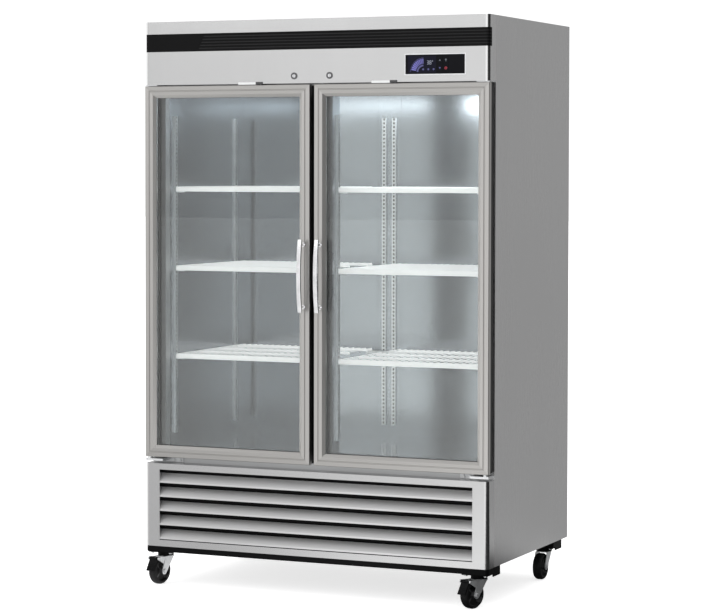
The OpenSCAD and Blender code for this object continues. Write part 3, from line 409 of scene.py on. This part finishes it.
for side in SIDES:
    pane_y = box_mm(f"door_glass_{side}")[0].y
    special[f"door_glass_{side}"] = [
        ("spacer", lambda a, b, y=pane_y: a.y > y + SPACER[0] and b.y < y + SPACER[1])]
    special[f"door_frame_{side}"] = [
        ("door_metal_cross", lambda a, b: not STILES_Z[0] <= (a.z + b.z) / 2 <= STILES_Z[1])]
for place in CASTERS:
    lo, hi = box_mm(f"caster_wheel_{place}")
    special[f"caster_wheel_{place}"] = [
        ("grey_plastic", lambda a, b, c=(lo + hi) / 2: max(abs(a.z - c.z), abs(b.z - c.z)) < HUB_R
         and max(abs(a.y - c.y), abs(b.y - c.y)) < HUB_R)]
for name in DEFAULTS:
    finish_node(name, *special.get(name, []))


# ---------- printed and lit marks on the display ----------

def piece(name, build, material, body):
    """Makes a piece from what build adds to an empty bmesh, and lets it ride on a body."""
    mesh = bpy.data.meshes.new(name)
    bm = bmesh.new()
    build(bm)
    bmesh.ops.recalc_face_normals(bm, faces=bm.faces)
    bm.to_mesh(mesh)
    bm.free()
    o = bpy.data.objects.new(name, mesh)
    bpy.context.scene.collection.objects.link(o)
    mesh.materials.append(material)
    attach(o, body)


def tile(bm, outline, y, thick):
    """A thin raised shape facing -Y; outline is a list of x, z in mm."""
    front = [bm.verts.new((x * MM, (y - thick) * MM, z * MM)) for x, z in outline]
    back = [bm.verts.new((x * MM, y * MM, z * MM)) for x, z in outline]
    n = len(outline)
    bm.faces.new(front)
    bm.faces.new(back[::-1])
    for i in range(n):
        j = (i + 1) % n
        bm.faces.new((front[i], back[i], back[j], front[j]))


def arc_band(cx, cz, r0, r1, a0, a1, steps):
    """Outline of a band between two radii and two angles."""
    outer = [(cx + r1 * math.cos(a0 + (a1 - a0) * i / steps),
              cz + r1 * math.sin(a0 + (a1 - a0) * i / steps)) for i in range(steps + 1)]
    inner = [(cx + r0 * math.cos(a0 + (a1 - a0) * i / steps),
              cz + r0 * math.sin(a0 + (a1 - a0) * i / steps)) for i in range(steps, -1, -1)]
    return outer + inner


def ring(cx, cz, r0, r1, steps):
    """A full turn of arc_band, less a hair so that its ends stay apart."""
    return arc_band(cx, cz, r0, r1, 0, 2 * math.pi - 0.01, steps)


def bar(x0, z0, x1, z1):
    return [(x0, z0), (x1, z0), (x1, z1), (x0, z1)]


SEGMENTS = {"3": "abcdg", "8": "abcdefg"}
DIGIT_W, DIGIT_H = 7, 14
MARK, KEY_MARK, WINDOW = 0.15, 0.12, 0.08       # how far each kind of print stands proud

glass_y = face_y - 0.8                          # front of the control panel's glass
dx, dz = display_lo.x, display_lo.z
scale_x, scale_z = dx + 74, dz + 10             # the middle of the curved scale
keys_x = box_mm("key_up")[0].x
M["violet_light"] = lit("violet_light", (0.16, 0.15, 0.50), 0.60, ((dx + 26) * MM, (dx + 72) * MM))
M["violet_dim"] = lit("violet_dim", (0.09, 0.09, 0.26), 0.35)
M["white_light"] = lit("white_light", (0.42, 0.45, 0.55), 0.45)
M["red_light"] = lit("red_light", (0.60, 0.05, 0.08), 0.45)
M["window"] = moulded("window", (0.009, 0.009, 0.018), 0.2, Specular_IOR_Level=0.08)
M["grey_print"] = moulded("grey_print", (0.10, 0.11, 0.13), 0.4)


def digit(bm, char, x, z):
    w, h = DIGIT_W, DIGIT_H
    t = w * 0.2
    parts = {"a": bar(x + t, z + h - t, x + w - t, z + h), "d": bar(x + t, z, x + w - t, z + t),
             "g": bar(x + t, z + h / 2 - t / 2, x + w - t, z + h / 2 + t / 2),
             "f": bar(x, z + h / 2 + t / 2, x + t, z + h - t / 2),
             "b": bar(x + w - t, z + h / 2 + t / 2, x + w, z + h - t / 2),
             "e": bar(x, z + t / 2, x + t, z + h / 2 - t / 2),
             "c": bar(x + w - t, z + t / 2, x + w, z + h / 2 - t / 2)}
    for s in SEGMENTS[char]:
        tile(bm, parts[s], glass_y, MARK)


def window(bm):
    """The display's lit field; it stops short of the keys, which sink below it when pressed."""
    tile(bm, bar(dx + 14, dz + 8, keys_x - 5, display_hi.z - 8), glass_y, WINDOW)


def arcs(bm):
    """Nine steps from twelve o'clock round to nine."""
    step = math.pi / 20
    for k in range(9):
        start = math.pi / 2 + k * step + 0.02
        tile(bm, arc_band(scale_x, scale_z, 30, 48, start, start + step - 0.035, 3), glass_y, MARK)


def arc_inner(bm):
    for r0, r1, lead, tail, steps in ((21, 27, 0.05, 0.05, 12), (50.5, 51.6, 0.02, 0.03, 16)):
        tile(bm, arc_band(scale_x, scale_z, r0, r1, math.pi / 2 + lead, math.pi - tail, steps),
             glass_y, MARK)


def figures(bm):
    digit(bm, "3", dx + 86, dz + 37)
    digit(bm, "8", dx + 96, dz + 37)
    tile(bm, ring(dx + 107.5, dz + 49, 0.9, 1.9, 12), glass_y, MARK)


def status_dots(bm):
    for i in range(3):
        tile(bm, ring(dx + 72 + i * 20, dz + 20, 0.2, 3.6, 14), glass_y, KEY_MARK)


for name, build, finish in (("window", window, "window"), ("scale", arcs, "violet_light"),
                            ("scale_inner", arc_inner, "violet_dim"), ("figures", figures, "white_light"),
                            ("status", status_dots, "violet_dim")):
    piece(f"display_{name}", build, M[finish], "root")


def key_mark(key, finish, outlines):
    """Print on a key; outlines gives its shapes from the middle of the key."""
    lo, hi = box_mm(f"key_{key}")

    def build(bm):
        for outline in outlines((lo.x + hi.x) / 2, (lo.z + hi.z) / 2):
            tile(bm, outline, lo.y, KEY_MARK)

    piece(f"key_{key}_mark", build, M[finish], f"button_{key}")


key_mark("up", "grey_print", lambda x, z: [[(x - 4, z - 3), (x + 4, z - 3), (x, z + 4)]])
key_mark("down", "violet_dim", lambda x, z: [[(x - 4, z + 3), (x + 4, z + 3), (x, z - 4)]])
key_mark("light", "grey_print", lambda x, z: [ring(x, z + 1.5, 0.3, 3.4, 16),
                                              bar(x - 1.6, z - 4.5, x + 1.6, z - 2.9)])
key_mark("power", "red_light", lambda x, z: [
    arc_band(x, z, 3.4, 4.9, math.radians(120), math.radians(420), 18), bar(x - 0.8, z, x + 0.8, z + 5.4)])


# ---------- painted shade: dark strips behind the shelf standards' slots ---

APART = 22                          # two standards are further apart than this
INSET, THIN = 2, 0.4                # a dark strip's distance from a standard's outside, and its thickness


def standard_painted_shade(bm):
    """A dark strip inside each upright channel: painted shade that shows through the slots."""
    corners = [v.co / MM for v in nodes["shelf_standards"].data.vertices]
    groups = []
    for c in corners:
        for g in groups:
            if abs(g[0].x - c.x) < APART and abs(g[0].y - c.y) < APART:
                g.append(c)
                break
        else:
            groups.append([c])
    for g in groups:
        lo = Vector(min(c[k] for c in g) for k in range(3))
        hi = Vector(max(c[k] for c in g) for k in range(3))
        a, b = lo + Vector((INSET,) * 3), hi - Vector((INSET,) * 3)
        if hi.x - lo.x > hi.y - lo.y:
            b.y = a.y + THIN
        elif sum(c.x < lo.x + 0.1 for c in g) > sum(c.x > hi.x - 0.1 for c in g):
            b.x = a.x + THIN        # its slotted face, with most corners, looks to -X
        else:
            a.x = b.x - THIN
        place = Matrix.Translation((a + b) / 2 * MM) @ Matrix.Diagonal(((b - a) * MM).to_4d())
        bmesh.ops.create_cube(bm, size=1.0, matrix=place)


piece("standard_painted_shade", standard_painted_shade, M["door_black"], "root")


# ---------- studio ----------

# Brightness of the surroundings by compass angle in degrees: 0 is +X, and -90 the refrigerator's front
AROUND = [(-180, 1.30), (-158, 1.50), (-140, 0.80), (-124, 0.84), (-111, 1.10), (-98, 1.35), (-74, 1.60),
          (-58, 1.60), (-50, 0.10), (-10, 0.03), (30, 0.05), (40, 0.75), (50, 0.46), (75, 0.46), (92, 0.44),
          (130, 0.60), (160, 1.20), (180, 1.30)]
CEILING = (0.42, 0.42, 0.42, 1)     # half the brightness overhead
BACKDROP = (0.56, 0.56, 0.56, 1)    # half the brightness that the camera sees behind the refrigerator
WORLD_STRENGTH = 2.0                # makes up for the halves
FLOOR_STRENGTH = 1.9
FLOOR_GLOW = 0.72                   # lifts the floor that the camera sees to near white


def surroundings(tree, vector):
    """Sockets with half the brightness of the surroundings towards a vector, and the vector's Z."""
    axes = add_node(tree, "ShaderNodeSeparateXYZ")
    tree.links.new(vector, axes.inputs[0])
    turn = add_node(tree, "ShaderNodeMath", operation="ARCTAN2")
    tree.links.new(axes.outputs["Y"], turn.inputs[0])
    tree.links.new(axes.outputs["X"], turn.inputs[1])
    along = add_node(tree, "ShaderNodeMapRange")
    along.inputs["From Min"].default_value = -math.pi
    along.inputs["From Max"].default_value = math.pi
    tree.links.new(turn.outputs["Value"], along.inputs["Value"])
    ramp = add_node(tree, "ShaderNodeValToRGB")
    stops = ramp.color_ramp.elements
    while len(stops) < len(AROUND):
        stops.new(0.5)
    for stop, (angle, value) in zip(stops, AROUND):
        stop.position = (angle + 180) / 360
        stop.color = (value / 2, value / 2, value / 2, 1)
    tree.links.new(along.outputs["Result"], ramp.inputs["Fac"])
    return ramp.outputs["Color"], axes.outputs["Z"]


def seen_directly(tree):
    """Value socket: 1 for what the camera sees, also through glass, and 0 for reflections and light."""
    path = add_node(tree, "ShaderNodeLightPath")
    either = add_node(tree, "ShaderNodeMath", operation="MAXIMUM")
    tree.links.new(path.outputs["Is Camera Ray"], either.inputs[0])
    tree.links.new(path.outputs["Is Transmission Ray"], either.inputs[1])
    return either.outputs["Value"]


def floor_material():
    """Pale floor, which in reflections carries on the surroundings by compass angle."""
    b = Build("studio_floor", (0.90, 0.90, 0.90), 0.85, Specular_IOR_Level=0.1)
    b.colour(b.tint(b.noise((3, 3, 3), 4.0), (0.895, 0.895, 0.895), (0.905, 0.905, 0.905)))
    b.bsdf.inputs["Emission Color"].default_value = (1, 1, 1, 1)
    b.bsdf.inputs["Emission Strength"].default_value = FLOOR_GLOW
    glow = b.add("ShaderNodeEmission")
    b.link(surroundings(b.tree, b.where)[0], glow.inputs["Color"])
    glow.inputs["Strength"].default_value = FLOOR_STRENGTH
    both = b.add("ShaderNodeMixShader")
    b.link(seen_directly(b.tree), both.inputs["Fac"])
    b.link(glow.outputs["Emission"], both.inputs[1])
    b.link(b.bsdf.outputs["BSDF"], both.inputs[2])
    b.link(both.outputs["Shader"], b.tree.nodes["Material Output"].inputs["Surface"])
    return b.mat


FLOOR_HALF = 60                     # half the floor's width
floor_mesh = bpy.data.meshes.new("studio_floor")
grid = bmesh.new()
bmesh.ops.create_grid(grid, x_segments=8, y_segments=8, size=FLOOR_HALF)
grid.to_mesh(floor_mesh)
grid.free()
floor_mesh.materials.append(floor_material())
floor = bpy.data.objects.new("studio_floor", floor_mesh)
bpy.context.scene.collection.objects.link(floor)
floor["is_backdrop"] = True

world = bpy.data.worlds.new("studio")
bpy.context.scene.world = world
world.use_nodes = True
wt = world.node_tree
back = wt.nodes["Background"]
around, height = surroundings(wt, add_node(wt, "ShaderNodeTexCoord").outputs["Generated"])
rise = add_node(wt, "ShaderNodeMapRange", interpolation_type="SMOOTHSTEP")
rise.inputs["From Min"].default_value = 0.25
rise.inputs["From Max"].default_value = 0.75
wt.links.new(height, rise.inputs["Value"])
ceiling = add_node(wt, "ShaderNodeMix", data_type="RGBA")
ceiling.inputs["B"].default_value = CEILING
wt.links.new(rise.outputs["Result"], ceiling.inputs["Factor"])
wt.links.new(around, ceiling.inputs["A"])
seen = add_node(wt, "ShaderNodeMix", data_type="RGBA")
seen.inputs["B"].default_value = BACKDROP
wt.links.new(seen_directly(wt), seen.inputs["Factor"])
wt.links.new(ceiling.outputs["Result"], seen.inputs["A"])
wt.links.new(seen.outputs["Result"], back.inputs["Color"])
back.inputs["Strength"].default_value = WORLD_STRENGTH


def area(name, at, towards, size, energy, colour=(1, 1, 1)):
    """A rectangular lamp at one point, aimed at another."""
    light = bpy.data.lights.new(name, "AREA")
    light.shape = "RECTANGLE"
    light.size, light.size_y = size
    light.energy = energy
    light.color = colour
    o = bpy.data.objects.new(name, light)
    o.location = at
    o.rotation_mode = "QUATERNION"
    o.rotation_quaternion = (Vector(towards) - Vector(at)).to_track_quat("-Z", "Y")
    bpy.context.scene.collection.objects.link(o)


area("key_light", (-3.4, -4.6, 4.2), (0, 0, 1.0), (3.0, 3.0), 40)
area("top_light", (0.5, 0.0, 5.5), (0, 0, 0), (5.0, 5.0), 40)
lamp_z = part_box("led_lamps")[0].z - 0.012
for side, x, power in (("left", -0.335, 0.6), ("right", 0.335, 3.2)):
    area(f"cabinet_lamp_{side}", (x, -0.295, lamp_z), (x, 0.12, 0.9), (0.50, 0.05), power,
         (0.94, 0.98, 1.0))

IMAGE_W, SENSOR_W = 710, 36
FOCAL, SHIFT_X, SHIFT_Y = 2409.3, -34.72, -57.0         # in the same unit as IMAGE_W
cam_data = bpy.data.cameras.new("camera")
camera = bpy.data.objects.new("camera", cam_data)
bpy.context.scene.collection.objects.link(camera)
yaw, pitch, roll = math.radians(23.509), math.radians(1.886), math.radians(0.117)
forward = Vector((-math.sin(yaw) * math.cos(pitch), math.cos(yaw) * math.cos(pitch), -math.sin(pitch)))
right = Vector((math.cos(yaw), math.sin(yaw), 0))
up = right.cross(forward)
right, up = (math.cos(roll) * right + math.sin(roll) * up,
             math.cos(roll) * up - math.sin(roll) * right)
pose = Matrix((right, up, -forward)).transposed().to_4x4()
pose.translation = (3.7525, -8.3162, 1.5634)
camera.matrix_world = pose
cam_data.sensor_width = SENSOR_W
cam_data.lens = FOCAL * SENSOR_W / IMAGE_W
cam_data.shift_x = SHIFT_X / IMAGE_W
cam_data.shift_y = SHIFT_Y / IMAGE_W
cam_data.clip_end = 200
bpy.context.scene.camera = camera
bpy.context.scene.view_settings.view_transform = "Standard"

lo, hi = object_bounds()
